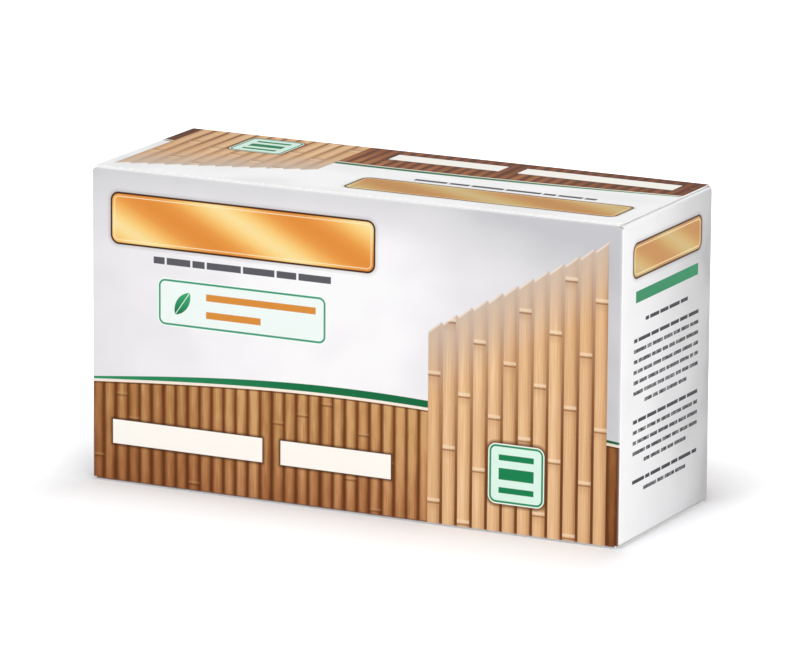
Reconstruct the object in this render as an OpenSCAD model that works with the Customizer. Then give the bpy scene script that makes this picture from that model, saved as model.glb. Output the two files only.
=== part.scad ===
// Closed folding carton for a bulk pack of bamboo toothpicks.
// One blank is folded round four upright panels and glued at the rear left corner. The top and
// the base are closed alike: dust flaps from the ends lie innermost, a flap from the front
// panel lies on them, and a flap from the back panel covers both. Glue holds all of them, so
// the sealed pack is one solid that has the true outside of the folded board.
// The print is fields of ink in two levels, flush with the stated outside sizes.
// Frame: +X along the front to the right, +Y from the front to the back, +Z up, with the origin
// at the middle of the base. Millimetres.

/* [Carton] */
// Outside length along the front
carton_l = 200; // [185:1:260]
// Outside depth, which the picks lie across
carton_d = 72; // [67:1:100]
// Outside height
carton_h = 111; // [104:1:150]
// Thickness of the paperboard
board_t = 0.45; // [0.3:0.05:0.8]
// Outside radius of a fold
crease_r = 0.9; // [0.6:0.1:1.5]
// Distance from the end of a fold to the cut edge of the flap that lies over it
lap_gap = 0.15; // [0.05:0.05:0.5]
// How much further back the edges of the inner flaps stand
lap_step = 0.5; // [0.2:0.1:1]
// Thickness of one level of ink
ink_t = 0.04; // [0.02:0.01:0.05]

/* [Reed band] */
// Height of the band at its ends on the front and back
band_h = 35; // [26:1:40]
// Height of the band at its ends on the top
top_band_h = 22; // [18:1:26]
// How much higher the band is in the middle
band_rise = 5; // [1:0.5:6]
// Width of a reed with its dark line
reed_pitch = 4.65; // [3.6:0.05:7]
// Dark line between two reeds
reed_gap = 0.5; // [0.3:0.05:0.8]
// Bare line between the band and the green rule
rule_gap = 1; // [0.5:0.1:2]
// Width of the green rule in the middle
rule_w = 2.6; // [1.4:0.1:3]
// Width of the green rule at its ends
rule_end_w = 0.8; // [0.4:0.1:1.2]

/* [Canes] */
// How many upright canes stand at the right
cane_count = 12; // [8:1:13]
// Width of a cane
cane_w = 4.6; // [3.4:0.1:5]
// Dark line round a cane
cane_gap = 1; // [0.4:0.05:1.3]
// Space over the tallest cane
cane_over = 10; // [7:0.5:14]
// How much shorter the leftmost cane is on the front and back
cane_fall = 34; // [20:1:40]
// How much shorter the leftmost cane is on the top
top_cane_fall = 20; // [12:1:22]
// Rise of the slanting cut on top of a cane
cane_cut = 3.6; // [1:0.1:4.5]
// Length of a cane between two joints
cane_joint = 44; // [30:1:60]
// Dark line at a joint
joint_gap = 0.6; // [0.3:0.05:1]
// Space to the right of the last cane
cane_side = 5; // [3:0.5:10]

/* [Plates and bars] */
// Space from the left edge to the gold plate and the white bars
plate_side = 8; // [5:0.5:12]
// Length of the gold plate
gold_l = 100; // [70:1:104]
// Height of the gold plate
gold_h = 17; // [10:0.5:18]
// Space over the gold plate
gold_over = 9; // [6:0.5:11]
// Length of the grey bar under the gold plate
grey_l = 68; // [40:1:76]
// Height of the grey bar
grey_h = 2.4; // [1:0.1:3]
// Space between the gold plate and the grey bar
grey_drop = 3.5; // [2:0.5:4]
// Length of the first white bar in the band
white_long = 58; // [40:1:62]
// Length of the second white bar
white_short = 42; // [30:1:46]
// Height of the white bars
white_h = 8.5; // [6:0.5:10]
// Space between the white bars
white_gap = 7; // [4:0.5:9]
// Height of their lower edge on the front and back
white_base = 14; // [9:0.5:15]
// Height of their lower edge on the top
top_white_base = 7; // [5:0.5:8]
// Length of the outlined mint plate
claim_l = 64; // [40:1:70]
// Height of the outlined mint plate
claim_h = 16; // [13:0.5:17]
// Space between the grey bar and the mint plate
claim_drop = 5; // [4:0.5:6]
// Length of the longer gold bar on the mint plate
claim_bar_l = 42; // [20:1:46]
// Height of its two gold bars
claim_bar_h = 2.4; // [1.5:0.1:3]
// Length of the green leaf on the mint plate
leaf_l = 10; // [6:0.5:11]
// Width of the leaf
leaf_w = 4.6; // [3:0.1:5]
// Degrees that the leaf leans to the right
leaf_lean = 35; // [0:1:60]
// Side of the mint badge on the canes
badge_w = 20; // [18:0.5:22]
// Height of its lower edge on the front and back
badge_base = 11; // [6:0.5:14]
// Height of its lower edge on the top
top_badge_base = 6; // [4:0.5:8]
// Length of the green bars on the badge
badge_bar_l = 13; // [9:0.5:14]
// Height of the middle green bar
badge_bar_h = 4; // [2.5:0.1:4.5]
// Corner radius of the plates
plate_r = 2.5; // [1.5:0.1:3]
// Width of the line that edges them
plate_line = 0.7; // [0.4:0.1:1]
// Bare line round a plate that lies on the canes
knock_out = 0.4; // [0.2:0.05:0.8]

/* [Ends] */
// Length of the gold plate on an end
end_gold_l = 54; // [35:1:58]
// Height of the gold plate on an end
end_gold_h = 11; // [7:0.5:12]
// Space over the gold plate on an end
end_gold_over = 9; // [6:0.5:11]
// Length of the green bar under it
end_bar_l = 50; // [30:1:58]
// Height of the green bar
end_bar_h = 4; // [2:0.1:5]
// Space between the gold plate and the green bar
end_bar_drop = 5; // [3:0.5:6]
// Space between the green bar and the small print
text_drop = 6; // [4:0.5:8]
// Length of a full line of small print
line_l = 52; // [36:1:58]
// Length of the last line of a paragraph
last_line_l = 34; // [20:1:36]
// Height of a line of small print
line_h = 1.3; // [0.8:0.1:1.6]
// Distance from one line to the next
line_pitch = 3.6; // [2.6:0.1:3.8]
// Extra space between two paragraphs
paragraph_gap = 2.6; // [1:0.1:3]

/* [Hidden] */
$fn = 24;

// Where a covering flap's cut edge stands, in from the panel that it meets
flap_in = crease_r + lap_gap;
inner_flap_in = flap_in + lap_step;
// A panel's print goes half way round its folds
wrap = crease_r * (1 - cos(45));
// Distance that the fields of ink start outside the carton, before they are cut to its form
reach = 1;

// Reeds and canes stand on the dark ground this far up, past the fold at a panel's foot
foot = board_t + crease_r;

// How many lines each paragraph of small print has
paragraphs = [1, 7, 5, 2];

// What differs between the large printed panels: length, height, height of the band, fall of
// the canes, heights of the white bars and the badge, and whether there is a mint plate
main_panel = [carton_l, carton_h, band_h, cane_fall, white_base, badge_base, true];
top_panel = [carton_l, carton_d, top_band_h, top_cane_fall, top_white_base, top_badge_base, false];
function length_of(panel) = panel[0];
function height_of(panel) = panel[1];
function band_of(panel) = panel[2];
function fall_of(panel) = panel[3];
function white_base_of(panel) = panel[4];
function badge_base_of(panel) = panel[5];
function has_claim(panel) = panel[6];

board_white = "#F2F2F4";
umber = "#5E3218";
reed_brown = "#A8754A";
cane_tan = "#E8B582";
leaf_green = "#12804E";
gold = "#EDA43E";
mint = "#DFF7EA";
type_grey = "#77777C";

// Rectangle whose corners are round where the list says so: low left, low right, high right
// and high left
module outline(low, high, r, rounded = [true, true, true, true]) {
    corners = [low, [high.x, low.y], high, [low.x, high.y]];
    difference() {
        translate(low) square(high - low);
        for (i = [0:3])
            if (rounded[i])
                translate(corners[i]) rotate(90 * i) corner_waste(r);
    }
}

// What a round corner takes away from a low left corner at the origin
module corner_waste(r) {
    difference() {
        translate([-r, -r]) square(2 * r);
        translate([r, r]) circle(r);
        translate([r, 0]) square(r);
        translate([0, r]) square(r);
    }
}

// Extrudes an outline drawn in Y and Z along X, from x_low to x_high
module along_x(x_low, x_high) {
    translate([x_low, 0, 0]) rotate([90, 0, 90]) linear_extrude(x_high - x_low) children();
}

// Plan of the four upright panels. The back panel's cut edge stands over the fold of the glue
// flap at the rear left corner, one board further in.
module plan(inset) {
    x = carton_l / 2 - inset;
    y = carton_d / 2 - inset;
    outline([-x, -y], [0, y - board_t], crease_r, [true, false, false, true]);
    outline([flap_in - carton_l / 2, -y], [x, y], crease_r, [false, true, true, false]);
}

// Section through the folds of the front panel, one board in from the top and the base
module front_folds(inset) {
    y = carton_d / 2 - inset;
    outline(
        [-y, board_t],
        [y - board_t, carton_h - inset - board_t],
        crease_r,
        [true, false, false, true]
    );
}

// Section through the folds of the back panel and the covering flaps
module back_folds(inset) {
    outline(
        [flap_in - carton_d / 2, 0],
        [carton_d / 2 - inset, carton_h - inset],
        crease_r,
        [false, true, true, false]
    );
}

// Section through the folds of the end panels, two boards in from the top and the base
module end_folds(inset) {
    x = carton_l / 2 - inset;
    outline([-x, 2 * board_t], [x, carton_h - inset - 2 * board_t], crease_r);
}

// The folded carton, with its printed sides moved in by inset and its cut edges where they are
module folded_board(inset) {
    intersection() {
        linear_extrude(carton_h) plan(inset);
        union() {
            intersection() {
                rotate([90, 0, 0]) linear_extrude(carton_d, center = true) end_folds(inset);
                along_x(-carton_l / 2, carton_l / 2) {
                    front_folds(inset);
                    back_folds(inset);
                }
            }
            along_x(inner_flap_in - carton_l / 2, carton_l / 2 - inner_flap_in)
                front_folds(inset);
            along_x(flap_in - carton_l / 2, carton_l / 2 - flap_in)
                back_folds(inset);
        }
    }
}

// Stands a drawing up on the front. This and the modules after it put the drawing's origin at
// the low left corner of the panel as it is read.
module on_front() {
    translate([-carton_l / 2, wrap - carton_d / 2, 0])
        rotate([90, 0, 0]) linear_extrude(wrap + reach) children();
}

// The back repeats the front
module on_front_and_back() {
    on_front() children();
    rotate([0, 0, 180]) on_front() children();
}

module on_right_end() {
    along_x(carton_l / 2 - wrap, carton_l / 2 + reach)
        translate([-carton_d / 2, 0]) children();
}

// The left end repeats the right one
module on_ends() {
    on_right_end() children();
    rotate([0, 0, 180]) on_right_end() children();
}

// The top reads from behind, because it is one piece with the back panel
module on_top() {
    translate([carton_l / 2, carton_d / 2, carton_h - wrap])
        rotate([0, 0, 180]) linear_extrude(wrap + reach) children();
}

// Height of the band's edge at a distance x from the left of a panel
function band_top(panel, x) =
    band_of(panel) + band_rise * sin(180 * x / length_of(panel));

function reed_count(panel) = round(length_of(panel) / reed_pitch);
function reed_step(panel) = length_of(panel) / reed_count(panel);

// Dark ground of the band
module band_ground(panel) {
    edges = [for (i = [reed_count(panel):-1:0]) i * reed_step(panel)];
    rim = [for (x = edges) [x, band_top(panel, x)]];
    polygon(concat([[0, 0], [length_of(panel), 0]], rim));
}

module reeds(panel) {
    for (i = [0:reed_count(panel) - 1]) {
        left = i * reed_step(panel) + reed_gap / 2;
        right = (i + 1) * reed_step(panel) - reed_gap / 2;
        polygon([
            [left, foot],
            [right, foot],
            [right, band_top(panel, right) - reed_gap],
            [left, band_top(panel, left) - reed_gap]
        ]);
    }
}

// Width of the green rule at a share of its length
function rule_width(share) = rule_end_w + (rule_w - rule_end_w) * sin(180 * share);

// Green rule that follows the band and swells towards the middle
module rule(panel) {
    steps = 16;
    length = length_of(panel);
    xs = [for (i = [0:steps]) i * length / steps];
    lower = [for (x = xs) [x, band_top(panel, x) + rule_gap]];
    upper = [for (i = [steps:-1:0]) lower[i] + [0, rule_width(i / steps)]];
    polygon(concat(lower, upper));
}

// Left side of the first cane
function canes_left(panel) =
    length_of(panel) - cane_side - cane_count * (cane_w + cane_gap) + cane_gap;

// Left side of cane i
function cane_x(panel, i) = canes_left(panel) + i * (cane_w + cane_gap);

// Height of the left side of cane i
function cane_top(panel, i) =
    height_of(panel) - cane_over - fall_of(panel) * (1 - i / (cane_count - 1));

// Dark ground that closes the lines between the canes, up to their tops
module cane_ground(panel) {
    rim = [
        for (i = [cane_count - 1:-1:0])
            for (side = [1, 0])
                [cane_x(panel, i) + side * cane_w, cane_top(panel, i) + side * cane_cut]
    ];
    right = length_of(panel) - cane_side;
    polygon(concat([[canes_left(panel), 0], [right, 0]], rim));
}

// Upright canes with slanting tops, and with dark joints whose heights differ from each cane
// to the next
module canes(panel) {
    for (i = [0:cane_count - 1])
        translate([cane_x(panel, i), 0]) difference() {
            top = cane_top(panel, i);
            polygon([[0, foot], [cane_w, foot], [cane_w, top + cane_cut], [0, top]]);
            first = foot + cane_joint * (1 + 3 * i % 7) / 7;
            for (z = [first:cane_joint:top - cane_cut])
                translate([-cane_gap / 2, z]) square([cane_w + cane_gap, joint_gap]);
        }
}

// The part of a panel that the canes stand in front of, up to a height
module cane_strip(panel, height) {
    width = length_of(panel) - cane_side - canes_left(panel);
    translate([canes_left(panel) - cane_gap, 0]) square([width + 2 * cane_gap, height]);
}

// A plate by its low left corner and its size, grown by a margin
module plate(low, size, margin) {
    grown = [margin, margin];
    outline(low - grown, low + size + grown, plate_r + margin);
}

// The line that edges a plate
module plate_edge(low, size) {
    line = [plate_line, plate_line];
    difference() {
        outline(low, low + size, plate_r);
        outline(low + line, low + size - line, plate_r - plate_line);
    }
}

function gold_low(panel) = [plate_side, height_of(panel) - gold_over - gold_h];

// Dark plate that edges the gold one, and the gold plate on it
module gold_ground(panel) {
    plate(gold_low(panel), [gold_l, gold_h], plate_line);
}

module gold_plate(panel) {
    plate(gold_low(panel), [gold_l, gold_h], 0);
}

// The grey bar stands under the middle of the gold plate
function grey_low(panel) = [
    plate_side + (gold_l - grey_l) / 2,
    gold_low(panel).y - grey_drop - grey_h
];

module grey_bar(panel) {
    translate(grey_low(panel)) square([grey_l, grey_h]);
}

// The mint plate stands under the middle of the grey bar
function claim_low(panel) = [
    plate_side + (gold_l - claim_l) / 2,
    grey_low(panel).y - claim_drop - claim_h
];

// Space round the two gold bars on the mint plate
claim_space = (claim_h - 2 * claim_bar_h) / 3;

// Two gold bars, one over the other, at the right of the mint plate
module claim_bars(panel) {
    left = claim_low(panel).x + claim_l - claim_bar_l - claim_space;
    for (row = [0, 1])
        translate([left, claim_low(panel).y + claim_space + row * (claim_bar_h + claim_space)])
            square([row == 0 ? claim_bar_l / 2 : claim_bar_l, claim_bar_h]);
}

// A leaf is what two equal circles share. Its length is the chord that they share.
module leaf(length, width) {
    r = (length * length / width + width) / 4;
    intersection() {
        translate([width / 2 - r, 0]) circle(r);
        translate([r - width / 2, 0]) circle(r);
    }
}

// A leaf that leans in the space to the left of the gold bars
module claim_leaf(panel) {
    middle = (claim_l - claim_bar_l - claim_space) / 2;
    translate(claim_low(panel) + [middle, claim_h / 2])
        rotate(-leaf_lean) leaf(leaf_l, leaf_w);
}

// White bars in the band, each grown by a margin
module white_bars(panel, margin) {
    low = [plate_side - margin, white_base_of(panel) - margin];
    translate(low) {
        square([white_long, white_h] + [2 * margin, 2 * margin]);
        translate([white_long + white_gap, 0])
            square([white_short, white_h] + [2 * margin, 2 * margin]);
    }
}

// The badge stands in the middle of the canes
function badge_low(panel) = [
    (canes_left(panel) + length_of(panel) - cane_side - badge_w) / 2,
    badge_base_of(panel)
];

module badge(panel, margin) {
    plate(badge_low(panel), [badge_w, badge_w], margin);
}

// A high green bar between two low ones, in the middle of the badge
module badge_bars(panel) {
    low_h = badge_bar_h / 2;
    space = (badge_w - 2 * plate_line - badge_bar_h - 2 * low_h) / 4;
    left = (badge_w - badge_bar_l) / 2;
    low = plate_line + space;
    translate(badge_low(panel)) {
        translate([left, low]) square([badge_bar_l, low_h]);
        translate([left, low + low_h + space]) square([badge_bar_l, badge_bar_h]);
        translate([left, low + low_h + badge_bar_h + 2 * space]) square([badge_bar_l, low_h]);
    }
}

// First level of a large panel: dark brown under the reeds and canes, and round the gold plate
module large_umber(panel) {
    difference() {
        union() {
            band_ground(panel);
            cane_ground(panel);
        }
        white_bars(panel, 0);
        badge(panel, knock_out);
    }
    gold_ground(panel);
}

module large_mint(panel) {
    badge(panel, 0);
    if (has_claim(panel)) plate(claim_low(panel), [claim_l, claim_h], 0);
}

// Second level: the reeds, which leave room for the canes and the white bars
module large_reeds(panel) {
    difference() {
        reeds(panel);
        cane_strip(panel, band_of(panel) + band_rise);
        white_bars(panel, reed_gap);
    }
}

module large_canes(panel) {
    difference() {
        canes(panel);
        badge(panel, knock_out + cane_gap);
    }
}

module large_gold(panel) {
    gold_plate(panel);
    if (has_claim(panel)) claim_bars(panel);
}

module large_green(panel) {
    difference() {
        rule(panel);
        cane_strip(panel, height_of(panel));
    }
    plate_edge(badge_low(panel), [badge_w, badge_w]);
    badge_bars(panel);
    if (has_claim(panel)) {
        plate_edge(claim_low(panel), [claim_l, claim_h]);
        claim_leaf(panel);
    }
}

// Heights of the gold plate and the green bar on an end
end_gold_z = carton_h - end_gold_over - end_gold_h;
end_bar_z = end_gold_z - end_bar_drop - end_bar_h;

// Gold plate on an end, grown by a margin
module end_gold(margin) {
    plate([(carton_d - end_gold_l) / 2, end_gold_z], [end_gold_l, end_gold_h], margin);
}

module end_bar() {
    translate([(carton_d - end_bar_l) / 2, end_bar_z]) square([end_bar_l, end_bar_h]);
}

// How many lines stand over paragraph p
function lines_before(p) = p == 0 ? 0 : lines_before(p - 1) + paragraphs[p - 1];

// Lines of small print, centred, with a short line at the end of each paragraph
module small_print() {
    for (p = [0:len(paragraphs) - 1]) {
        for (k = [0:paragraphs[p] - 1]) {
            length = k == paragraphs[p] - 1 ? last_line_l : line_l;
            drop = (lines_before(p) + k) * line_pitch + p * paragraph_gap;
            translate([(carton_d - length) / 2, end_bar_z - text_drop - drop - line_h])
                square([length, line_h]);
        }
    }
}

// One ink: the fields, cut to the form of the carton at its level
module ink(tone, level) {
    color(tone) intersection() {
        folded_board((2 - level) * ink_t);
        union() children();
    }
}

module print_work() {
    ink(umber, 1) {
        on_front_and_back() large_umber(main_panel);
        on_top() large_umber(top_panel);
        on_ends() end_gold(plate_line);
    }
    ink(mint, 1) {
        on_front_and_back() large_mint(main_panel);
        on_top() large_mint(top_panel);
    }
    ink(type_grey, 1) {
        on_front_and_back() grey_bar(main_panel);
        on_top() grey_bar(top_panel);
        on_ends() small_print();
    }
    ink(gold, 2) {
        on_front_and_back() large_gold(main_panel);
        on_top() large_gold(top_panel);
        on_ends() end_gold(0);
    }
    ink(reed_brown, 2) {
        on_front_and_back() large_reeds(main_panel);
        on_top() large_reeds(top_panel);
    }
    ink(cane_tan, 2) {
        on_front_and_back() large_canes(main_panel);
        on_top() large_canes(top_panel);
    }
    ink(leaf_green, 2) {
        on_front_and_back() large_green(main_panel);
        on_top() large_green(top_panel);
        on_ends() end_bar();
    }
}

module carton() {
    color(board_white) folded_board(2 * ink_t);
    print_work();
}

carton();
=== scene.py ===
"""A sealed folding carton of toothpicks: printed paperboard with creased folds and glued flaps.

Lengths are metres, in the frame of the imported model: +X along the front to the right, +Y from
the front to the back, +Z up, with the origin at the middle of the base. Values whose names end
in _MM, and everything in the artwork, are millimetres on a panel, counted from its low left
corner as it is read.
"""

from dataclasses import dataclass
from math import cos, pi, radians, sin

import bpy
import numpy as np
from mathutils import Matrix, Vector


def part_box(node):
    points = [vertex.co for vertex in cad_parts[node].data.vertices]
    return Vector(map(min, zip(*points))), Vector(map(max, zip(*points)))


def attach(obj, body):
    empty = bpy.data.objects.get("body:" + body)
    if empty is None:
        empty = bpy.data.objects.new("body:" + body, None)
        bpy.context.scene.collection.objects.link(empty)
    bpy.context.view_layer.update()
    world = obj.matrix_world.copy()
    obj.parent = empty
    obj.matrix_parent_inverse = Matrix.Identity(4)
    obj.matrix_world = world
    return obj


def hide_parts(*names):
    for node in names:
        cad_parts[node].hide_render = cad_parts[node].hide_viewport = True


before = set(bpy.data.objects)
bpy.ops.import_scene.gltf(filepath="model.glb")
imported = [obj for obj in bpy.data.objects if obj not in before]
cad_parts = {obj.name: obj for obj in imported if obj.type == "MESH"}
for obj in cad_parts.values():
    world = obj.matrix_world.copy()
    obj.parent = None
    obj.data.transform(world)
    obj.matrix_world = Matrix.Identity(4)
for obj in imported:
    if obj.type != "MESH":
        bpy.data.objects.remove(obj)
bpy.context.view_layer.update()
LOW, HIGH = (Vector(corner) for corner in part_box("carton"))

MM = 0.001
X, Y, Z = np.eye(3)

# The board and its folds. A flap's cut edges stand in from the carton's edges by the lengths
# named _IN, and the front's flaps end FLAP_SHY before the back panel.
LENGTH, DEPTH, HEIGHT = HIGH - LOW
HALF_L, HALF_D = LENGTH / 2, DEPTH / 2
BOARD = 0.45 * MM
CREASE = 0.9 * MM
HALF_FOLD = pi / 4
FLAP_IN = CREASE + 0.15 * MM
INNER_FLAP_IN = FLAP_IN + 0.5 * MM
GLUE_IN = CREASE + 0.1 * MM
DUST_LENGTH = 58 * MM
GLUE_WIDTH = 16 * MM
FLAP_SHY = 1 * MM

# The meshes
FOLD_STEPS = 8
CELL = 3.5 * MM
WAVE = 0.1 * MM
SHARP_TURN = radians(35)

# The view
FOCAL, SENSOR = 311.8, 36.0
AZIMUTH, ELEVATION, ROLL = radians(26.57), radians(13.24), radians(0.39)
DISTANCE = 2.3601
AIM = Vector((0, -0.002, 0.054))
AIM_RIGHT, AIM_UP = 0.0007, 0.0042
FAR_CLIP = 20.0

# The floor, which glows white to the camera except near the carton. Its glow fades out over
# SHADOW_REACH to the left, right, front and rear, so the real shadow and a painted shade show
# there.
FLOOR_HALF = 6.0
FLOOR_GLOW = 0.8
SHADOW_REACH = (0.072, 0.045, 0.16, 0.13)

# The lamps, each with its name, place, size and watts, and the white room, with the light that
# it gives and what is added where the camera sees it
LAMPS = (
    ("key", (0.5, -1.3, 1.7), (1.6, 1.6), 24.5),
    ("left_fill", (-1.6, -0.9, 0.7), (1.0, 1.2), 3.8),
    ("right_fill", (1.8, -0.2, 0.7), (1.2, 1.2), 8.5),
)
LAMP_AIM = Vector((0, 0, 0.05))
ROOM_LIGHT, ROOM_IN_VIEW = 0.55, 0.45


class Side:
    """One direction of a panel: a flat stretch, and a fold beyond its start, its end or both.

    A fold turns through HALF_FOLD, where the next panel takes over. Each sample has its place
    along the panel's plane, the angle that the sheet has turned by there, and its place on the
    flat blank, which is the length along the sheet. A flap folds between its own two cut edges,
    which stand in from the flat stretch by the margins.
    """

    def __init__(self, start, end, fold_before=False, fold_after=False, margins=(0, 0)):
        inner = np.linspace(start + margins[0], end - margins[1], round((end - start) / CELL))
        flat = np.unique(np.r_[start, inner, end])
        turn = np.linspace(0, HALF_FOLD, FOLD_STEPS + 1)[1:]
        before = turn[::-1] if fold_before else turn[:0]
        after = turn if fold_after else turn[:0]
        self.turn = np.r_[-before, 0 * flat, after]
        self.along = np.r_[start - CREASE * np.sin(before), flat, end + CREASE * np.sin(after)]
        self.blank = np.r_[start - CREASE * before, flat, end + CREASE * after]
        self.share = np.clip((self.along - start) / (end - start), 0, 1)
        self.flat = (len(before), len(before) + len(flat) - 1)
        self.flap = (self.flat[0] + (margins[0] > 0), self.flat[1] - (margins[1] > 0))


def panel(name, corner, across, up, u, v, print_from=(0, 0)):
    """One panel or flap of the folded blank, as a closed sheet of board.

    A point at (a, b) lies at corner + a across + b up, less CREASE (1 - cos turn) inwards for
    each direction that it folds in. The sheet's back lies one board behind it, along the normal
    there. Low waves give the flat stretch the unevenness of board and die out at the folds. At
    the shares s and t of the stretch they go inwards by
    WAVE sin(pi s) sin(pi t) (0.5 + 0.3 sin(7 s + 2 t) + 0.2 sin(5 t - 9 s)).
    """
    corner, across, up = (np.array(vector, dtype=float) for vector in (corner, across, up))
    out = np.cross(across, up)
    turn_u, turn_v = (grid[..., None] for grid in np.meshgrid(u.turn, v.turn, indexing="ij"))
    a, b = (grid[..., None] for grid in np.meshgrid(u.along, v.along, indexing="ij"))
    s, t = (grid[..., None] for grid in np.meshgrid(u.share, v.share, indexing="ij"))
    swell = np.sin(pi * s) * np.sin(pi * t)
    ripple = 0.5 + 0.3 * np.sin(7 * s + 2 * t) + 0.2 * np.sin(5 * t - 9 * s)
    depth = CREASE * (2 - np.cos(turn_u) - np.cos(turn_v)) + WAVE * swell * ripple
    face = corner + a * across + b * up - depth * out
    normal = out * np.cos(turn_u) * np.cos(turn_v) + across * np.sin(turn_u) + up * np.sin(turn_v)
    normal /= np.linalg.norm(normal, axis=2, keepdims=True)

    # The folds above and below a panel are only as wide as the flaps there.
    kept = np.ones((len(u.turn) - 1, len(v.turn) - 1), dtype=bool)
    kept[: u.flap[0], : v.flat[0]] = False
    kept[u.flap[1] :, : v.flat[0]] = False
    kept[: u.flap[0], v.flat[1] :] = False
    kept[u.flap[1] :, v.flat[1] :] = False

    blank = np.stack(np.meshgrid(u.blank, v.blank, indexing="ij"), axis=2) + print_from
    folded = np.maximum(np.abs(turn_u), np.abs(turn_v))[..., 0] / HALF_FOLD
    return sheet(name, face, face - BOARD * normal, kept, blank / MM, folded)


def sheet(name, face, back, kept, blank, folded):
    """A closed mesh between two grids of points.

    It has a quad on either side of every kept cell, and a wall wherever a kept cell has no kept
    neighbour. For its print it carries its place on the blank and how far it is folded.
    """
    count = face.shape[0] * face.shape[1]
    index = np.arange(count).reshape(face.shape[:2])
    low, right, high, left = index[:-1, :-1], index[1:, :-1], index[1:, 1:], index[:-1, 1:]
    ring = np.pad(kept, 1)
    walls = (
        (low, left, ring[:-2, 1:-1]),
        (right, low, ring[1:-1, :-2]),
        (high, right, ring[2:, 1:-1]),
        (left, high, ring[1:-1, 2:]),
    )
    quads = [
        np.stack([low, right, high, left], axis=2)[kept],
        np.stack([left, high, right, low], axis=2)[kept] + count,
    ]
    for one, other, neighbour in walls:
        open_side = kept & ~neighbour
        quads.append(np.stack([one, other, other + count, one + count], axis=2)[open_side])
    used, faces = np.unique(np.concatenate(quads), return_inverse=True)
    points = np.concatenate([face.reshape(-1, 3), back.reshape(-1, 3)])[used]
    places = np.tile(np.c_[blank.reshape(-1, 2), folded.reshape(-1)], (2, 1))[used]

    mesh = bpy.data.meshes.new(name)
    mesh.from_pydata(points.tolist(), [], faces.reshape(-1, 4).tolist())
    layer = mesh.attributes.new("blank", "FLOAT_VECTOR", "POINT")
    layer.data.foreach_set("vector", places.astype(np.float32).ravel())
    # The printed face has the first material, and the back and the walls have the second.
    slots = np.ones(len(mesh.polygons), dtype=np.int32)
    slots[: len(quads[0])] = 0
    mesh.polygons.foreach_set("material_index", slots)
    mesh.shade_smooth()
    mesh.set_sharp_from_angle(angle=SHARP_TURN)
    mesh.update()
    return put_in_scene(name, mesh)


def put_in_scene(name, data):
    """A new object that holds this mesh, camera or lamp."""
    thing = bpy.data.objects.new(name, data)
    bpy.context.scene.collection.objects.link(thing)
    return thing


def fold_carton(finishes):
    """The blank's panels and flaps in their folded places, each with its own finish outside and
    raw board on its back and its cut edges."""
    cut_in = FLAP_IN - CREASE
    full_l = Side(CREASE, LENGTH - CREASE, True, True, (INNER_FLAP_IN - CREASE,) * 2)
    back_l = Side(CREASE, LENGTH - FLAP_IN, True, False, (cut_in, 0))
    cover_l = Side(FLAP_IN, LENGTH - FLAP_IN)
    inner_l = Side(INNER_FLAP_IN, LENGTH - INNER_FLAP_IN)
    dust_l = Side(CREASE, DUST_LENGTH, True)
    glue_l = Side(0, GLUE_WIDTH - CREASE, False, True)
    glue_z = Side(GLUE_IN, HEIGHT - GLUE_IN)
    full_d = Side(CREASE, DEPTH - CREASE, True, True, (cut_in, cut_in))
    cover_d = Side(CREASE, DEPTH - FLAP_IN, True)
    inner_d = Side(CREASE, DEPTH - BOARD - FLAP_SHY, True)
    dust_d = Side(FLAP_IN, DEPTH - FLAP_IN)
    # The left end and its dust flaps are one board narrower at the rear, for the glue flap, and
    # the end's print leaves that board out.
    left_d = Side(CREASE, DEPTH - BOARD - CREASE, True, True, (cut_in, cut_in))
    top_left_d = Side(FLAP_IN + BOARD, DEPTH - FLAP_IN)
    base_left_d = Side(FLAP_IN, DEPTH - FLAP_IN - BOARD)
    shifted = (BOARD, 0)

    def upright(layers):
        """The height of a panel whose flaps lie under this many layers of board."""
        return Side(layers * BOARD + CREASE, HEIGHT - layers * BOARD - CREASE, True, True)

    low, high = 0.0, HEIGHT
    dust_low, dust_high = 2 * BOARD, HEIGHT - 2 * BOARD
    rear = HALF_D - BOARD
    # A name, the low left corner, the ways across and up, the samples along each, the finish
    # and, where it isn't at the corner, the place that the print is counted from
    rows = [
        ("front_panel", (-HALF_L, -HALF_D, low), X, Z, full_l, upright(1), "large"),
        ("right_end", (HALF_L, -HALF_D, low), Y, Z, full_d, upright(2), "end"),
        ("back_panel", (HALF_L, HALF_D, low), -X, Z, back_l, upright(0), "large"),
        ("left_end", (-HALF_L, rear, low), -Y, Z, left_d, upright(2), "end", shifted),
        ("glue_flap", (GLUE_WIDTH - HALF_L, rear, low), -X, Z, glue_l, glue_z, "plain"),
        ("top_cover_flap", (HALF_L, HALF_D, high), -X, -Y, cover_l, cover_d, "top"),
        ("base_cover_flap", (-HALF_L, HALF_D, low), X, -Y, cover_l, cover_d, "plain"),
        ("top_inner_flap", (-HALF_L, -HALF_D, high - BOARD), X, Y, inner_l, inner_d, "plain"),
        ("base_inner_flap", (HALF_L, -HALF_D, BOARD), -X, Y, inner_l, inner_d, "plain"),
        ("top_right_dust_flap", (HALF_L, -HALF_D, dust_high), Y, -X, dust_d, dust_l, "plain"),
        ("top_left_dust_flap", (-HALF_L, HALF_D, dust_high), -Y, X, top_left_d, dust_l, "plain"),
        ("base_right_dust_flap", (HALF_L, HALF_D, dust_low), -Y, -X, dust_d, dust_l, "plain"),
        ("base_left_dust_flap", (-HALF_L, -HALF_D, dust_low), Y, X, base_left_d, dust_l, "plain"),
    ]
    for name, corner, across, up, u, v, finish, *print_from in rows:
        piece = panel(name, corner, across, up, u, v, *print_from)
        piece.data.materials.append(finishes[finish])
        piece.data.materials.append(finishes["raw"])
        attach(piece, "root")
        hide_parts("carton")


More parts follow.
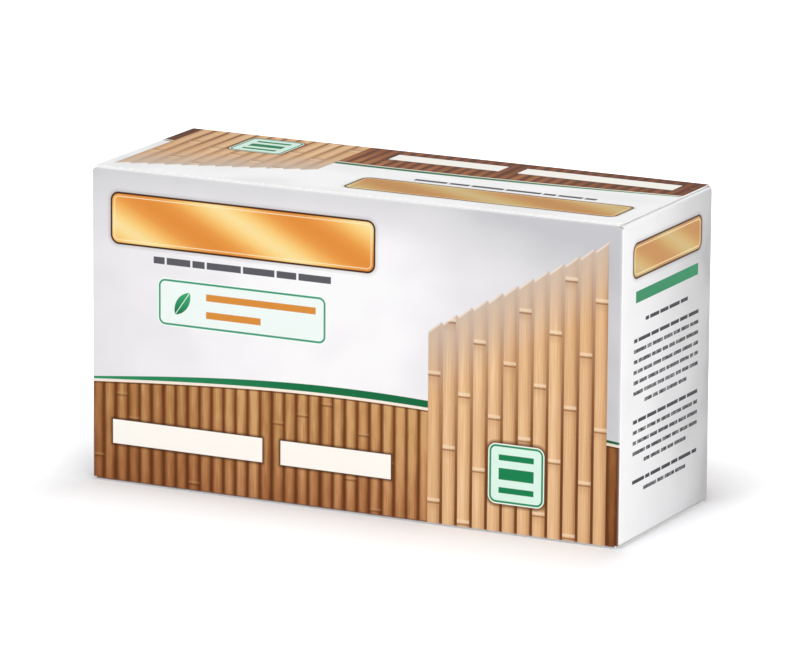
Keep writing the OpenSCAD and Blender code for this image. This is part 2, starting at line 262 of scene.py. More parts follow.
def rgb(code):
    """A colour written as six hex digits, as it looks on screen, in linear light."""
    parts = [int(code[i : i + 2], 16) / 255 for i in (0, 2, 4)]
    return (*[c / 12.92 if c <= 0.04045 else ((c + 0.055) / 1.055) ** 2.4 for c in parts], 1)


class Field:
    """A number at each point of a surface, worked out by Math nodes."""

    def __init__(self, tree, socket):
        self.tree, self.socket = tree, socket

    def math(self, operation, *numbers):
        """The field that one Math node works out from fields and plain numbers."""
        node = self.tree.nodes.new("ShaderNodeMath")
        node.operation = operation
        for slot, number in zip(node.inputs, numbers):
            if isinstance(number, Field):
                self.tree.links.new(number.socket, slot)
            else:
                slot.default_value = number
        return Field(self.tree, node.outputs[0])

    def __add__(self, other):
        return self.math("ADD", self, other)

    def __sub__(self, other):
        return self.math("SUBTRACT", self, other)

    def __rsub__(self, other):
        return self.math("SUBTRACT", other, self)

    def __mul__(self, other):
        return self.math("MULTIPLY", self, other)

    def __truediv__(self, other):
        return self.math("DIVIDE", self, other)

    __radd__, __rmul__ = __add__, __mul__

    def __abs__(self):
        return self.math("ABSOLUTE", self)

    def floor(self):
        return self.math("FLOOR", self)

    def fract(self):
        return self.math("FRACT", self)

    def sin(self):
        return self.math("SINE", self)

    def modulo(self, other):
        return self.math("FLOORED_MODULO", self, other)

    def least(self, other):
        return self.math("MINIMUM", self, other)

    def most(self, other):
        return self.math("MAXIMUM", self, other)

    def power(self, exponent):
        return self.math("POWER", self, exponent)

    def over(self, other):
        """1 where this is more than the other, 0 elsewhere."""
        return self.math("GREATER_THAN", self, other)

    def between(self, low, high):
        """How far this is from low to high, held between 0 and 1."""
        node = self.tree.nodes.new("ShaderNodeMapRange")
        self.tree.links.new(self.socket, node.inputs["Value"])
        node.inputs["From Min"].default_value = low
        node.inputs["From Max"].default_value = high
        return Field(self.tree, node.outputs["Result"])

    def inked(self, spread=0.12):
        """1 where this distance from a field's edge is negative, with a soft edge of ink."""
        return self.between(spread / 2, -spread / 2)

    def stripe(self, middle, half, spread):
        """1 on a stripe across this field, with its middle, half its width and its soft edge."""
        return (abs(self - middle) - half).inked(spread)

    def ramp(self, stops):
        """A colour for each value, from stops of (value, colour)."""
        node = self.tree.nodes.new("ShaderNodeValToRGB")
        self.tree.links.new(self.socket, node.inputs["Fac"])
        elements = node.color_ramp.elements
        while len(elements) < len(stops):
            elements.new(1)
        for element, (place, code) in zip(elements, stops):
            element.position = place
            element.color = rgb(code)
        return node.outputs["Color"]


class Print:
    """The drawing on one panel, built up field by field like the inks of a press."""

    def __init__(self, name):
        self.material = bpy.data.materials.new(name)
        self.material.use_nodes = True
        self.tree = self.material.node_tree
        self.shader = self.tree.nodes["Principled BSDF"]
        place = self.tree.nodes.new("ShaderNodeAttribute")
        place.attribute_name = "blank"
        self.place = place.outputs["Vector"]
        split = self.tree.nodes.new("ShaderNodeSeparateXYZ")
        self.tree.links.new(self.place, split.inputs[0])
        self.u, self.v, self.folded = (Field(self.tree, socket) for socket in split.outputs)
        self.colour = None

    def noise(self, scale_u, scale_v, detail, seed=0.0):
        """Smooth noise between 0 and 1, with its own number of waves per millimetre each way."""
        stretch = self.tree.nodes.new("ShaderNodeMapping")
        stretch.inputs["Scale"].default_value = (scale_u, scale_v, 1)
        stretch.inputs["Location"].default_value = (seed, seed, seed)
        self.tree.links.new(self.place, stretch.inputs["Vector"])
        node = self.tree.nodes.new("ShaderNodeTexNoise")
        node.noise_dimensions = "2D"
        node.inputs["Scale"].default_value = 1
        node.inputs["Detail"].default_value = detail
        self.tree.links.new(stretch.outputs["Vector"], node.inputs["Vector"])
        return Field(self.tree, node.outputs["Fac"])

    def chance(self, number, seed=0.0):
        """A number between 0 and 1 that depends on a whole number alone."""
        node = self.tree.nodes.new("ShaderNodeTexWhiteNoise")
        node.noise_dimensions = "1D"
        self.tree.links.new((number + seed).socket, node.inputs["W"])
        return Field(self.tree, node.outputs["Value"])

    def lay(self, over, share, blend="MIX"):
        """Lays a colour over what is printed so far."""
        node = self.tree.nodes.new("ShaderNodeMix")
        node.data_type = "RGBA"
        node.blend_type = blend
        factor, below, above = node.inputs[0], node.inputs[6], node.inputs[7]
        if isinstance(share, Field):
            self.tree.links.new(share.socket, factor)
        else:
            factor.default_value = share
        self.tree.links.new(self.colour, below)
        if isinstance(over, str):
            above.default_value = rgb(over)
        else:
            self.tree.links.new(over, above)
        self.colour = node.outputs[2]

    def box(self, left, low, width, height, radius=0.0):
        """Distance outside a rectangle with round corners, negative inside it."""
        x = abs(self.u - (left + width / 2)) - (width / 2 - radius)
        y = abs(self.v - (low + height / 2)) - (height / 2 - radius)
        outside = (x.most(0).power(2) + y.most(0).power(2)).power(0.5)
        return outside + x.most(y).least(0) - radius

    def finish(self, rough, relief, strength, depth):
        """The panel's material: the drawing, its roughness, and a relief of this depth."""
        inputs = self.shader.inputs
        self.tree.links.new(self.colour, inputs["Base Color"])
        self.tree.links.new(rough.socket, inputs["Roughness"])
        bump = self.tree.nodes.new("ShaderNodeBump")
        bump.inputs["Strength"].default_value = strength
        bump.inputs["Distance"].default_value = depth
        self.tree.links.new(relief.socket, bump.inputs["Height"])
        self.tree.links.new(bump.outputs["Normal"], inputs["Normal"])
        return self.material


# The artwork. _L, _W and _H are lengths, widths and heights, _SIDE is the ground beside a piece,
# _OVER the ground above it, and _DROP the gap under the piece above it.
LENGTH_MM, DEPTH_MM, HEIGHT_MM = LENGTH / MM, DEPTH / MM, HEIGHT / MM

# Where the lower fold of the front and of the ends meets the flat
FOOT_MM = (BOARD + CREASE) / MM
END_FOOT_MM = FOOT_MM + BOARD / MM

# The front's ground: the span over which it greys to its sides, where it starts to grey to
# the right and, as a share of the height, upwards, and how much each of them greys it
GROUND_SPAN, GREY_RIGHT_FROM, GREY_HIGH_FROM = 125.0, 112.0, 0.72
GREY_ACROSS, GREY_RIGHT, GREY_HIGH, GREY_WASH = 0.5, 0.54, 0.6, 0.24

# Shares of the width of a reed or cane: where it is brightest, a little left of its middle,
# how far that moves from reed to reed, and how far from there its roundness turns dark
BRIGHT_SIDE, BRIGHT_DRIFT = 0.36, 0.14
REED_ROUND, CANE_ROUND = 0.56, 0.68

# The band of reeds, and the green rule above it. BAND_END is the length of the band's dark
# ends, BAND_RIM the height of the pale rim over it.
BAND_RISE, BAND_END, BAND_RIM = 5.0, 7.0, 1.6
REED_W = 4.65
REEDS = round(LENGTH_MM / REED_W)
REED_STEP = LENGTH_MM / REEDS
REED_GAP = 0.5
REED_JOINT, REED_JOINT_SPREAD = 78.0, 90.0
RULE_GAP = 1.0
RULE_WIDTHS = (0.8, 2.6)

# The canes on the right. The tips are greyer for CANE_TIP down, the lines between the canes
# darken for CANE_LINE_FADE down, and the group's shadow is CANE_SHADOW wide.
CANES = 12
CANE_W, CANE_GAP, CANE_CUT, CANE_SIDE = 4.6, 1.0, 3.6, 5.0
CANE_STEP = CANE_W + CANE_GAP
CANES_LEFT = LENGTH_MM - CANE_SIDE - CANES * CANE_STEP + CANE_GAP
CANE_JOINT, JOINT_GAP, JOINT_SHADE = 44.0, 0.6, 3.0
JOINT_PLACES, JOINT_HOP = 7, 3
CANE_TIP, CANE_LINE_FADE, CANE_SHADOW = 24.0, 70.0, 4.0

# Plates and bars on the large panels. PLATE_GLOOM is the width of the soft shadow round a
# plate, and LEAF_VEIN half the width of the leaf's vein.
PLATE_SIDE, PLATE_R, PLATE_LINE, PLATE_GLOOM = 8.0, 2.5, 0.7, 1.4
GOLD_L, GOLD_H, GOLD_OVER = 100.0, 17.0, 9.0
GOLD_LINE_IN, GOLD_LINE_HALF = 0.9, 0.18
SHEEN_WAVE = 3.4
# How far the gold on the top and the ends is toned down to brown: painted shade of gold out of
# the light
GOLD_SHADE = 0.55
GREY_L, GREY_H, GREY_DROP = 68.0, 2.4, 3.5
WHITE_BARS, WHITE_H, WHITE_GAP = (58.0, 42.0), 8.5, 7.0
CLAIM_L, CLAIM_H, CLAIM_DROP = 64.0, 16.0, 5.0
CLAIM_BAR_L, CLAIM_BAR_H = 42.0, 2.4
LEAF_L, LEAF_W, LEAF_LEAN, LEAF_VEIN = 10.0, 4.6, radians(35), 0.16
BADGE_W, BADGE_BAR_L, BADGE_BAR_H = 20.0, 13.0, 4.0
KNOCK_OUT = 0.4

# Plate, bar and paragraphs on the ends. PARAGRAPHS is the number of lines in each.
END_GOLD_L, END_GOLD_H, END_GOLD_OVER = 54.0, 11.0, 9.0
END_BAR_L, END_BAR_H, END_BAR_DROP = 50.0, 4.0, 5.0
TEXT_DROP, LINE_L, LAST_LINE_L, LINE_H = 6.0, 52.0, 34.0, 1.3
LINE_PITCH, PARAGRAPH_GAP = 3.6, 2.6
PARAGRAPHS = (1, 7, 5, 2)

# Words: the length of each stretch with one space in it, the space, the shortest word at a
# line's end, and what sets each row apart from the last
GREY_WORD, TEXT_WORD = 10.5, 7.5
WORD_SPACE, WORD_LEAST = 0.8, 2.6
ROW_SHIFT, ROW_DRAWS = 3.7, 31

# The inks and the painted shade, as stops of a ramp or as one colour
FRONT_GREYS = (
    (0, "FAF9FA"),
    (0.15, "F0EEF1"),
    (0.35, "E5E3E6"),
    (0.6, "D9D8DA"),
    (0.95, "C6C5C9"),
)
# The ends grey towards their far edge and most of all on the far fold: painted shade.
END_GREYS_AND_SHADE = (
    (0, "FAF9F9"),
    (0.3, "F0EFF0"),
    (0.6, "DEDDDE"),
    (0.92, "C7C6C7"),
    (1, "B8B7B9"),
)
TOP_WHITES = ((0.35, "FFFFFF"), (0.75, "F4F4F5"))
PLAIN_WHITES = ((0, "F0F0F1"), (1, "E4E5E8"))
PULP = ((0.3, "E9E8E6"), (0.5, "F0EFED"), (0.75, "F6F5F3"))
TOOTH = ((0, "F4F4F4"), (1, "FFFFFF"))
# The second is the painted contact shadow on the ends' lower fold.
CRACKED_WHITE, FOOT_SHADE = "F4F2F0", "87868A"

REED_SKIN = (
    (0.05, "643512"),
    (0.28, "855127"),
    (0.5, "9D673A"),
    (0.72, "B5814E"),
    (0.95, "D0A06B"),
)
REED_HALO, REED_FOOT, REED_WARMTH = "FBE6CC", "EAD3DC", "E4B88E"
REED_LINE, REED_EDGE = "643511", "4E260A"
REED_JOINT_DARK, REED_JOINT_PALE = "542A0C", "D2A470"
RULE_GREENS = ((0, "2B8F5E"), (0.4, "0F6E40"), (1, "0A5A32"))

CANE_SKIN = (
    (0, "A06C42"),
    (0.25, "C08E60"),
    (0.5, "D4A577"),
    (0.75, "E4B889"),
    (1, "F7D3A8"),
)
CANE_LINES = ((0, "CDBBAB"), (0.35, "B68A62"), (0.7, "8C5C36"), (1, "6E4220"))
CANE_GLOOM, CANE_TIP_GREY, CANE_CUT_PALE = "A8A09A", "CDBBAC", "F4E8DC"
CANE_JOINT_DARK, CANE_JOINT_PALE, CANE_JOINT_SHADE = "84542C", "FBE3C4", "B58558"

GOLD_SHEEN = (
    (0, "DF8836"),
    (0.3, "E99C48"),
    (0.6, "F4B964"),
    (0.85, "F9D588"),
    (1, "FCE7AC"),
)
GOLD_GLOOM, GOLD_EDGE, GOLD_IN_SHADE, GOLD_LINE = "9A9088", "4A2A16", "AC8E5E", "FDF0C8"
BAR_GREY, BAR_WHITE, BAR_GLOOM = "5A5960", "FFFBF3", "3E2010"
MINT_RIM, BADGE_MINT, BADGE_GREEN = "F6FFFA", "DDF7EA", "2B8F5E"
BADGE_BAR_GREEN, BADGE_GLOOM = "12804E", "5C3214"
CLAIM_MINT, CLAIM_GREEN, CLAIM_GOLD = "F0F9F5", "3D9A74", "D98E3A"
LEAF_GREENS, LEAF_VEIN_GREEN = ((0, "0C6A40"), (1, "3FAE76")), "CDEFD9"
END_BAR_GREEN, TEXT_GREY = "208A5B", "303136"


@dataclass
class Layout:
    """What differs between the large printed panels: the height of the panel and of the band at
    its ends, how much the first cane's top lies under the last one's, the ground over that one,
    the low edges of the white bars and of the badge, how much darker the reeds are, how far the
    gold is toned down to brown as painted shade, and whether it has the plate with the leaf."""

    height: float
    band: float
    cane_fall: float
    cane_over: float
    white_base: float
    badge_base: float
    shade: float
    gold_shade: float
    claim: bool


MAIN = Layout(
    height=HEIGHT_MM,
    band=35.0,
    cane_fall=34.0,
    cane_over=10.0,
    white_base=14.0,
    badge_base=11.0,
    shade=0.0,
    gold_shade=0.0,
    claim=True,
)
TOP = Layout(
    height=DEPTH_MM,
    band=22.0,
    cane_fall=20.0,
    cane_over=10.0,
    white_base=7.0,
    badge_base=6.0,
    shade=0.3,
    # The top's gold carries the painted shade.
    gold_shade=GOLD_SHADE,
    claim=False,
)


def front_ground(art):
    """Pale ground: white in the middle of the panel, greyer towards its sides and its top edge,
    and most of all towards the right."""
    across = (art.u - LENGTH_MM / 2) / GROUND_SPAN
    high = (art.v / HEIGHT_MM).between(GREY_HIGH_FROM, 1)
    right = art.u.between(GREY_RIGHT_FROM, LENGTH_MM)
    away = across.power(2) * GREY_ACROSS + high.power(2) * GREY_HIGH + right * GREY_RIGHT
    wash = art.noise(0.045, 0.06, detail=1.0, seed=3.0) - 0.5
    art.colour = (away + wash * GREY_WASH).ramp(FRONT_GREYS)


def top_ground(art):
    """The same ground on the narrower top, where it stays white but for a faint wash."""
    art.colour = art.noise(0.03, 0.05, detail=1.0, seed=3.0).ramp(TOP_WHITES)


def band_top(art, layout):
    """Height of the band's edge: it rises and falls once along the panel, as half a sine."""
    return (art.u * (pi / LENGTH_MM)).sin() * BAND_RISE + layout.band


def round_light(across, bright_side, reach):
    """Light on a round skin: 1 at its bright side, and 0 at this reach to either side of it."""
    return (1 - ((across - bright_side) / reach).power(2)).most(0)


def reed_band(art, layout):
    """Brown reeds side by side, each round in its shading, with joints at heights of its own."""
    top = band_top(art, layout)
    cell = art.u / REED_STEP
    number = cell.floor()
    across = cell.fract()
    bright_side = art.chance(number) * BRIGHT_DRIFT + BRIGHT_SIDE
    gleam = round_light(across, bright_side, REED_ROUND)
    grain = art.noise(2.6, 0.07, detail=3.0) - 0.5
    mottle = art.noise(0.5, 0.12, detail=2.0, seed=13.0) - 0.5
    tone = art.chance(number, seed=40.5) - 0.5
    # The band is lightest in its upper middle, darker at both ends, and reddest at the foot.
    depth = (top - art.v) / layout.band
    middle = 1 - (art.u / (LENGTH_MM / 2) - 1).power(2)
    to_end = LENGTH_MM / 2 - abs(art.u - LENGTH_MM / 2)
    light = gleam * 0.82 + grain * 0.4 + mottle * 0.3 + tone * 0.28 + middle * 0.33
    light = light - to_end.between(BAND_END, 0) * 0.25 - 0.18 - layout.shade
    skin = (light - depth * 0.14).ramp(REED_SKIN)
    art.lay(REED_HALO, (art.v - top).between(BAND_RIM, 0) * 0.9)
    inside = (art.v - top).inked()
    art.lay(skin, inside)
    art.lay(REED_FOOT, inside * depth.between(0.35, 1.1) * 0.6, "MULTIPLY")
    # A darker band is also warmer.
    art.lay(REED_WARMTH, inside * (layout.shade * 2), "MULTIPLY")
    raised = art.v + art.chance(number, seed=7.5) * REED_JOINT_SPREAD
    joint = (raised / REED_JOINT).fract() * REED_JOINT
    art.lay(REED_JOINT_DARK, inside * joint.stripe(1, 0.3, 0.5) * 0.6)
    art.lay(REED_JOINT_PALE, inside * joint.stripe(1.8, 0.25, 0.5) * 0.35)
    edge = (0.5 - abs(across - 0.5)) * REED_STEP - REED_GAP / 2
    art.lay(REED_LINE, inside * edge.between(0.6, -0.1) * 0.76)
    art.lay(REED_EDGE, inside * (top - art.v - REED_GAP).inked(0.4) * 0.8)
    art.lay(REED_EDGE, (art.v - FOOT_MM).inked() * inside * 0.6)


def green_rule(art, layout):
    """A rule above the band that swells from its ends to its middle."""
    swell = (art.u * (pi / LENGTH_MM)).sin()
    width = swell * (RULE_WIDTHS[1] - RULE_WIDTHS[0]) + RULE_WIDTHS[0]
    low = band_top(art, layout) + RULE_GAP
    distance = (low - art.v).most(art.v - low - width)
    art.lay((art.u / LENGTH_MM).ramp(RULE_GREENS), distance.inked())


def canes(art, layout):
    """Upright canes with slanting tops.

    Cane i is one step to the right of the last and taller by an equal share of the fall, and its
    joints are CANE_JOINT apart, from (3 i mod 7 + 1) sevenths of that above the foot. The dark
    lines between the canes end at the slanting tops on either side.
    """
    step_up = layout.cane_fall / (CANES - 1)
    number = ((art.u - CANES_LEFT) / CANE_STEP).floor().most(0).least(CANES - 1)
    x = art.u - CANES_LEFT - number * CANE_STEP
    across = x / CANE_W
    top = number * step_up + layout.height - layout.cane_over - layout.cane_fall
    cut = top + across * CANE_CUT
    body = (abs(across - 0.5) - 0.5) * CANE_W

    # A soft shadow on the ground, to the right of the group
    beside = x.between(CANE_W + CANE_SHADOW, CANE_W) * x.over(CANE_W - 0.1)
    shaded = beside * (top + CANE_CUT - art.v).between(-1, 6)
    art.lay(CANE_GLOOM, shaded * 0.12, "MULTIPLY")

    # Every cane but the last has a dark line on its right.
    rim = top + CANE_CUT + (x - CANE_W) * ((step_up - CANE_CUT) / CANE_GAP)
    line = (art.v - rim).inked(0.5) * (CANE_W - x).inked() * (CANES - 1.5 - number).over(0)
    art.lay((rim - art.v).between(0, CANE_LINE_FADE).ramp(CANE_LINES), line)

    gleam = round_light(across, BRIGHT_SIDE, CANE_ROUND)
    grain = art.noise(2.2, 0.045, detail=3.0, seed=9.0) - 0.5
    tone = art.chance(number, seed=3.5) - 0.5
    light = gleam * 0.7 + grain * 0.55 + tone * 0.16 + 0.08
    inside = body.most(art.v - cut).inked()
    art.lay(light.ramp(CANE_SKIN), inside)
    # The tips are paler and greyer than the rest.
    art.lay(CANE_TIP_GREY, inside * (cut - art.v).between(CANE_TIP, 0) * 0.85)
    place = (number * JOINT_HOP).modulo(JOINT_PLACES) + 1
    first = place * (CANE_JOINT / JOINT_PLACES) + FOOT_MM
    joint = ((art.v - first) / CANE_JOINT).fract() * CANE_JOINT
    art.lay(CANE_JOINT_DARK, inside * joint.stripe(JOINT_GAP / 2, JOINT_GAP / 2, 0.4) * 0.75)
    art.lay(CANE_JOINT_PALE, inside * joint.stripe(1.4, 0.5, 0.6) * 0.55)
    under_joint = joint.between(CANE_JOINT - JOINT_SHADE, CANE_JOINT)
    art.lay(CANE_JOINT_SHADE, inside * under_joint * 0.35)
    art.lay(CANE_CUT_PALE, inside * (cut - art.v - 0.7).inked(0.5) * 0.7)


def gold_plate(art, left, low, width, height, gold_shade):
    """A gold plate with a dark edge and a pale line inside it. Its sheen runs aslant from orange
    to pale yellow and back, in waves of SHEEN_WAVE times its height, half that upwards. By the
    last share the gold is toned down to a flat brown, as painted shade of gold out of the light."""
    distance = art.box(left, low, width, height, PLATE_R)
    art.lay(GOLD_GLOOM, (distance - PLATE_LINE).between(PLATE_GLOOM, 0) * 0.35, "MULTIPLY")
    art.lay(GOLD_EDGE, (distance - PLATE_LINE).inked())
    slant = (art.u - left) / (height * SHEEN_WAVE) + (art.v - low) / (height * SHEEN_WAVE / 2)
    sheen = (slant * (2 * pi)).sin() * 0.42 + 0.5
    art.lay(sheen.ramp(GOLD_SHEEN), distance.inked())
    # Painted shade: the gold is toned down to brown as if out of the light.
    art.lay(GOLD_IN_SHADE, distance.inked() * gold_shade)
    art.lay(GOLD_LINE, (abs(distance + GOLD_LINE_IN) - GOLD_LINE_HALF).inked() * 0.7)


def mint_plate(art, distance, fill, line):
    """A pale plate with a green line inside its edge."""
    art.lay(MINT_RIM, (distance - KNOCK_OUT).inked())
    art.lay(line, distance.inked())
    art.lay(fill, (distance + PLATE_LINE).inked())


def large_panel(layout):
    """The front, which the back repeats, or the top."""
    art = Print("printed_large" if layout.claim else "printed_top")
    if layout.claim:
        front_ground(art)
    else:
        top_ground(art)
    reed_band(art, layout)
    green_rule(art, layout)
    canes(art, layout)

    gold_low = layout.height - GOLD_OVER - GOLD_H
    gold_plate(art, PLATE_SIDE, gold_low, GOLD_L, GOLD_H, layout.gold_shade)
    grey_low = gold_low - GREY_DROP - GREY_H
    grey = art.box(PLATE_SIDE + (GOLD_L - GREY_L) / 2, grey_low, GREY_L, GREY_H)
    line = words(art, 0, GREY_WORD, PLATE_SIDE + GOLD_L / 2, GREY_L / 2)
    art.lay(BAR_GREY, grey.inked() * line)

    left = PLATE_SIDE
    for length in WHITE_BARS:
        bar = art.box(left, layout.white_base, length, WHITE_H)
        art.lay(BAR_GLOOM, (bar - REED_GAP).between(0.7, -0.2) * 0.8)
        art.lay(BAR_WHITE, bar.inked())
        left += length + WHITE_GAP
    badge(art, layout.badge_base)
    if layout.claim:
        claim(art, grey_low)
    return varnish(art)


def badge(art, base):
    """A square mint plate in the middle of the canes, with three green bars."""
    left = (CANES_LEFT + LENGTH_MM - CANE_SIDE - BADGE_W) / 2
    plate = art.box(left, base, BADGE_W, BADGE_W, PLATE_R)
    art.lay(BADGE_GLOOM, (plate - KNOCK_OUT - CANE_GAP).between(0.5, -0.5) * 0.75)
    mint_plate(art, plate, BADGE_MINT, BADGE_GREEN)
    low = base + PLATE_LINE
    space = (BADGE_W - 2 * PLATE_LINE - 2 * BADGE_BAR_H) / 4
    for height in (BADGE_BAR_H / 2, BADGE_BAR_H, BADGE_BAR_H / 2):
        low += space
        bar = art.box(left + (BADGE_W - BADGE_BAR_L) / 2, low, BADGE_BAR_L, height)
        art.lay(BADGE_BAR_GREEN, bar.inked())
        low += height


def claim(art, grey_low):
    """The outlined plate under the grey bar, with a leaf and two gold bars."""
    low = grey_low - CLAIM_DROP - CLAIM_H
    left = PLATE_SIDE + (GOLD_L - CLAIM_L) / 2
    mint_plate(art, art.box(left, low, CLAIM_L, CLAIM_H, PLATE_R), CLAIM_MINT, CLAIM_GREEN)
    space = (CLAIM_H - 2 * CLAIM_BAR_H) / 3
    bar_left = left + CLAIM_L - CLAIM_BAR_L - space
    for row, length in enumerate((CLAIM_BAR_L / 2, CLAIM_BAR_L)):
        bar = art.box(bar_left, low + space + row * (CLAIM_BAR_H + space), length, CLAIM_BAR_H)
        art.lay(CLAIM_GOLD, bar.inked())

    # The leaf is what two equal circles share, turned to lean to the right.
    x = art.u - (left + (CLAIM_L - CLAIM_BAR_L - space) / 2)
    y = art.v - (low + CLAIM_H / 2)
    along = x * sin(LEAF_LEAN) + y * cos(LEAF_LEAN)
    across = x * cos(LEAF_LEAN) - y * sin(LEAF_LEAN)
    radius = (LEAF_L**2 / LEAF_W + LEAF_W) / 4
    far = abs(across) + (radius - LEAF_W / 2)
    leaf = (far.power(2) + along.power(2)).power(0.5) - radius
    art.lay((along / LEAF_L + 0.5).ramp(LEAF_GREENS), leaf.inked())
    art.lay(LEAF_VEIN_GREEN, leaf.inked() * (abs(across) - LEAF_VEIN).inked())


def words(art, row, mean, middle, half):
    """1 on the words of a line, 0 on the spaces between them.

    There is one space in each stretch of a mean word's length, anywhere in the middle of the
    stretch, so the words differ in length. The ends of the line, which reaches by half its
    length to either side of its middle, have no space in their last WORD_LEAST.
    """
    stretch = (art.u + row * ROW_SHIFT) / mean
    place = art.chance(stretch.floor() + row * ROW_DRAWS) * 0.6 + 0.2
    space = (abs(stretch.fract() - place) * mean - WORD_SPACE / 2).inked(0.2)
    inner = half - WORD_LEAST - abs(art.u - middle)
    return 1 - space * inner.over(0)


def end_panel():
    """An end: a gold plate, a green bar and paragraphs of grey lines, each broken into words."""
    art = Print("printed_end")
    wash = art.noise(0.04, 0.05, detail=1.0, seed=5.0) - 0.5
    # The ground greys from the edge that the print is counted from to the far edge, and is
    # darkest on the far fold: painted shade.
    art.colour = (art.u / DEPTH_MM + wash * 0.3).ramp(END_GREYS_AND_SHADE)
    gold_low = HEIGHT_MM - END_GOLD_OVER - END_GOLD_H
    # The end's gold carries the painted shade as well.
    gold_plate(art, (DEPTH_MM - END_GOLD_L) / 2, gold_low, END_GOLD_L, END_GOLD_H, GOLD_SHADE)
    bar_low = gold_low - END_BAR_DROP - END_BAR_H
    bar = art.box((DEPTH_MM - END_BAR_L) / 2, bar_low, END_BAR_L, END_BAR_H)
    art.lay(END_BAR_GREEN, bar.inked())

    # The ink of the lines is uneven, and fuller on the first line of each paragraph.
    text_top = bar_low - TEXT_DROP
    uneven = art.noise(0.45, 0.6, detail=2.0, seed=41.0) * 0.9 + 0.46
    for lines in PARAGRAPHS:
        row = ((text_top - art.v) / LINE_PITCH).floor().most(0).least(lines - 1)
        last = row.over(lines - 1.5)
        bold = (0.5 - row).over(0)
        half = last * ((LAST_LINE_L - LINE_L) / 2) + LINE_L / 2
        middle = text_top - LINE_H / 2 - row * LINE_PITCH
        distance = (abs(art.u - DEPTH_MM / 2) - half).most(abs(art.v - middle) - LINE_H / 2)
        line = distance.inked() * words(art, row + lines, TEXT_WORD, DEPTH_MM / 2, half)
        art.lay(TEXT_GREY, line * (bold * 0.3 + uneven).least(1))
        text_top -= lines * LINE_PITCH + PARAGRAPH_GAP
    # The lower fold is painted grey where the carton stands: a painted contact shadow.
    art.lay(FOOT_SHADE, (art.v - END_FOOT_MM).inked(0.6) * 0.42)
    return varnish(art)


def plain_panel():
    """The unprinted flaps: white coated board with a faint wash."""
    art = Print("plain_board")
    art.colour = art.noise(0.03, 0.04, detail=1.0, seed=3.0).ramp(PLAIN_WHITES)
    return varnish(art)


def varnish(art):
    """The varnish over the print: where the board was creased, the ink cracks to the white
    board in short flecks, and the paper's tooth shows through the gloss."""
    flecks = art.noise(3.2, 3.2, detail=3.0, seed=21.0)
    cracked = (flecks - (0.9 - art.folded * 0.26)).between(0, 0.12)
    art.lay(CRACKED_WHITE, art.folded * 0.22 + cracked * art.folded * 0.3)
    speck = art.noise(6, 6, detail=2.0, seed=11.0) - 0.5
    art.lay(speck.between(-0.5, 0.5).ramp(TOOTH), 1.0, "MULTIPLY")

    rough = art.noise(0.2, 0.2, detail=3.0, seed=31.0) * 0.1 + 0.4 + cracked * 0.3
    coarse = art.noise(0.8, 0.8, detail=2.0, seed=19.0)
    relief = art.noise(4, 4, detail=3.0, seed=17.0) + coarse * 0.8
    inputs = art.shader.inputs
    inputs["IOR"].default_value = 1.45
    inputs["Specular IOR Level"].default_value = 0.12
    inputs["Coat Weight"].default_value = 0.02
    inputs["Coat Roughness"].default_value = 0.2
    return art.finish(rough, relief, strength=0.25, depth=0.03 * MM)


def raw_board():
    """The unprinted back and the cut edges: pale pulp with fibres along the sheet."""
    art = Print("raw_board")
    upright = art.noise(5.0, 0.6, detail=4.0, seed=4.0)
    fibre = art.noise(0.6, 5.0, detail=4.0, seed=2.0) * 0.6 + upright * 0.4
    art.colour = fibre.ramp(PULP)
    art.shader.inputs["IOR"].default_value = 1.4
    return art.finish(fibre * 0.2 + 0.75, fibre, strength=0.4, depth=0.05 * MM)


def view_axes():
    """Right, up and back of the view, with the camera rolled by a touch."""
    level = cos(ELEVATION)
    back = Vector((sin(AZIMUTH) * level, -cos(AZIMUTH) * level, sin(ELEVATION)))
    right = Vector((0, 0, 1)).cross(back).normalized()
    up = back.cross(right)
    rolled_right = right * cos(ROLL) + up * sin(ROLL)
    rolled_up = up * cos(ROLL) - right * sin(ROLL)
    return rolled_right, rolled_up, back


def place_camera():
    """The camera, at the photograph's angle."""
    right, up, back = view_axes()
    data = bpy.data.cameras.new("camera")
    data.sensor_width = SENSOR
    data.lens = FOCAL
    data.clip_end = FAR_CLIP
    camera = put_in_scene("camera", data)
    turn = Matrix((right, up, back)).transposed().to_4x4()
    spot = AIM + right * AIM_RIGHT + up * AIM_UP + back * DISTANCE
    camera.matrix_world = Matrix.Translation(spot) @ turn
    bpy.context.scene.camera = camera


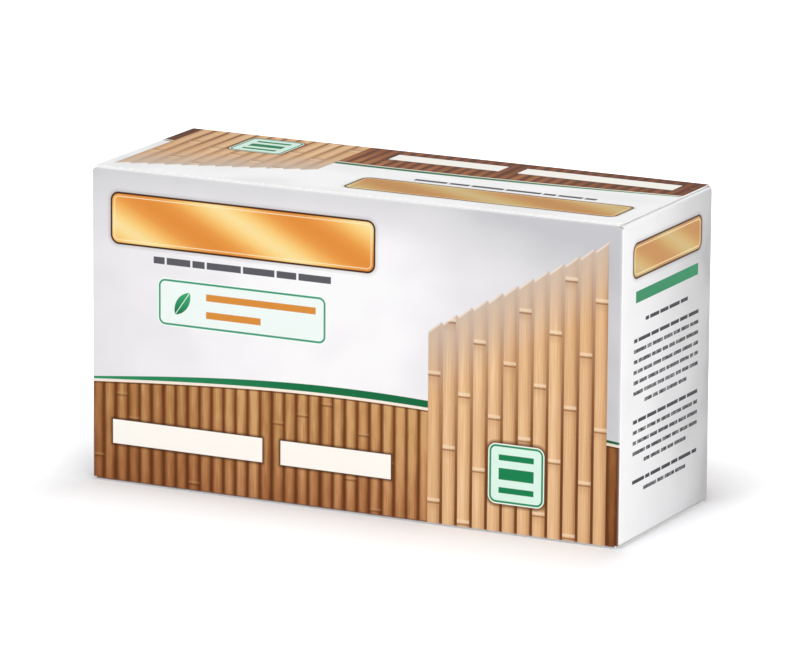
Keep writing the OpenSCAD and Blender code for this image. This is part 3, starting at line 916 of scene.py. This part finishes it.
def lay_floor():
    """A pale floor that renders white to the camera and keeps the carton's shadow, with its glow
    faded out near the carton as a painted shade round it.
    """
    half = FLOOR_HALF
    mesh = bpy.data.meshes.new("floor")
    corners = [(-half, -half, 0), (half, -half, 0), (half, half, 0), (-half, half, 0)]
    mesh.from_pydata(corners, [], [(0, 1, 2, 3)])
    floor = put_in_scene("floor", mesh)
    material = bpy.data.materials.new("floor")
    material.use_nodes = True
    tree = material.node_tree
    shader = tree.nodes["Principled BSDF"]
    shader.inputs["Base Color"].default_value = (0.86, 0.86, 0.87, 1)
    shader.inputs["Roughness"].default_value = 0.9
    shader.inputs["Specular IOR Level"].default_value = 0.0
    shader.inputs["Emission Color"].default_value = (1, 1, 1, 1)
    path = tree.nodes.new("ShaderNodeLightPath")
    rays = ("Is Camera Ray", "Is Glossy Ray", "Is Transmission Ray")
    camera, glossy, through = (Field(tree, path.outputs[ray]) for ray in rays)
    seen = camera.most(glossy).most(through)
    place = tree.nodes.new("ShaderNodeTexCoord")
    split = tree.nodes.new("ShaderNodeSeparateXYZ")
    tree.links.new(place.outputs["Object"], split.inputs[0])
    x, y = (Field(tree, socket) for socket in split.outputs[:2])
    # Near the carton the glow fades out: a painted shade round it, added to the real shadow.
    outside = (-HALF_L - x, x - HALF_L, -HALF_D - y, y - HALF_D)
    away = sum((far.most(0) / reach).power(2) for far, reach in zip(outside, SHADOW_REACH))
    glow = away.power(0.5).between(0, 1) * FLOOR_GLOW
    tree.links.new((seen * glow).socket, shader.inputs["Emission Strength"])
    mesh.materials.append(material)


def area_lamp(name, spot, size, watts):
    """A soft rectangular lamp that is turned to the carton."""
    data = bpy.data.lights.new(name, "AREA")
    data.shape = "RECTANGLE"
    data.size, data.size_y = size
    data.energy = watts
    lamp = put_in_scene(name, data)
    lamp.location = spot
    lamp.rotation_euler = (LAMP_AIM - Vector(spot)).to_track_quat("-Z", "Y").to_euler()


def light_studio():
    """A large soft lamp over the front, weaker ones to the left and right, and a white room."""
    for name, spot, size, watts in LAMPS:
        area_lamp(name, spot, size, watts)
    world = bpy.data.worlds.new("room")
    bpy.context.scene.world = world
    world.use_nodes = True
    tree = world.node_tree
    sky = tree.nodes["Background"]
    sky.inputs["Color"].default_value = (1, 1, 1, 1)
    path = tree.nodes.new("ShaderNodeLightPath")
    seen = Field(tree, path.outputs["Is Camera Ray"])
    tree.links.new((seen * ROOM_IN_VIEW + ROOM_LIGHT).socket, sky.inputs["Strength"])


fold_carton(
    {
        "large": large_panel(MAIN),
        "top": large_panel(TOP),
        "end": end_panel(),
        "plain": plain_panel(),
        "raw": raw_board(),
    }
)
place_camera()
lay_floor()
light_studio()
bpy.context.scene.view_settings.view_transform = "Standard"
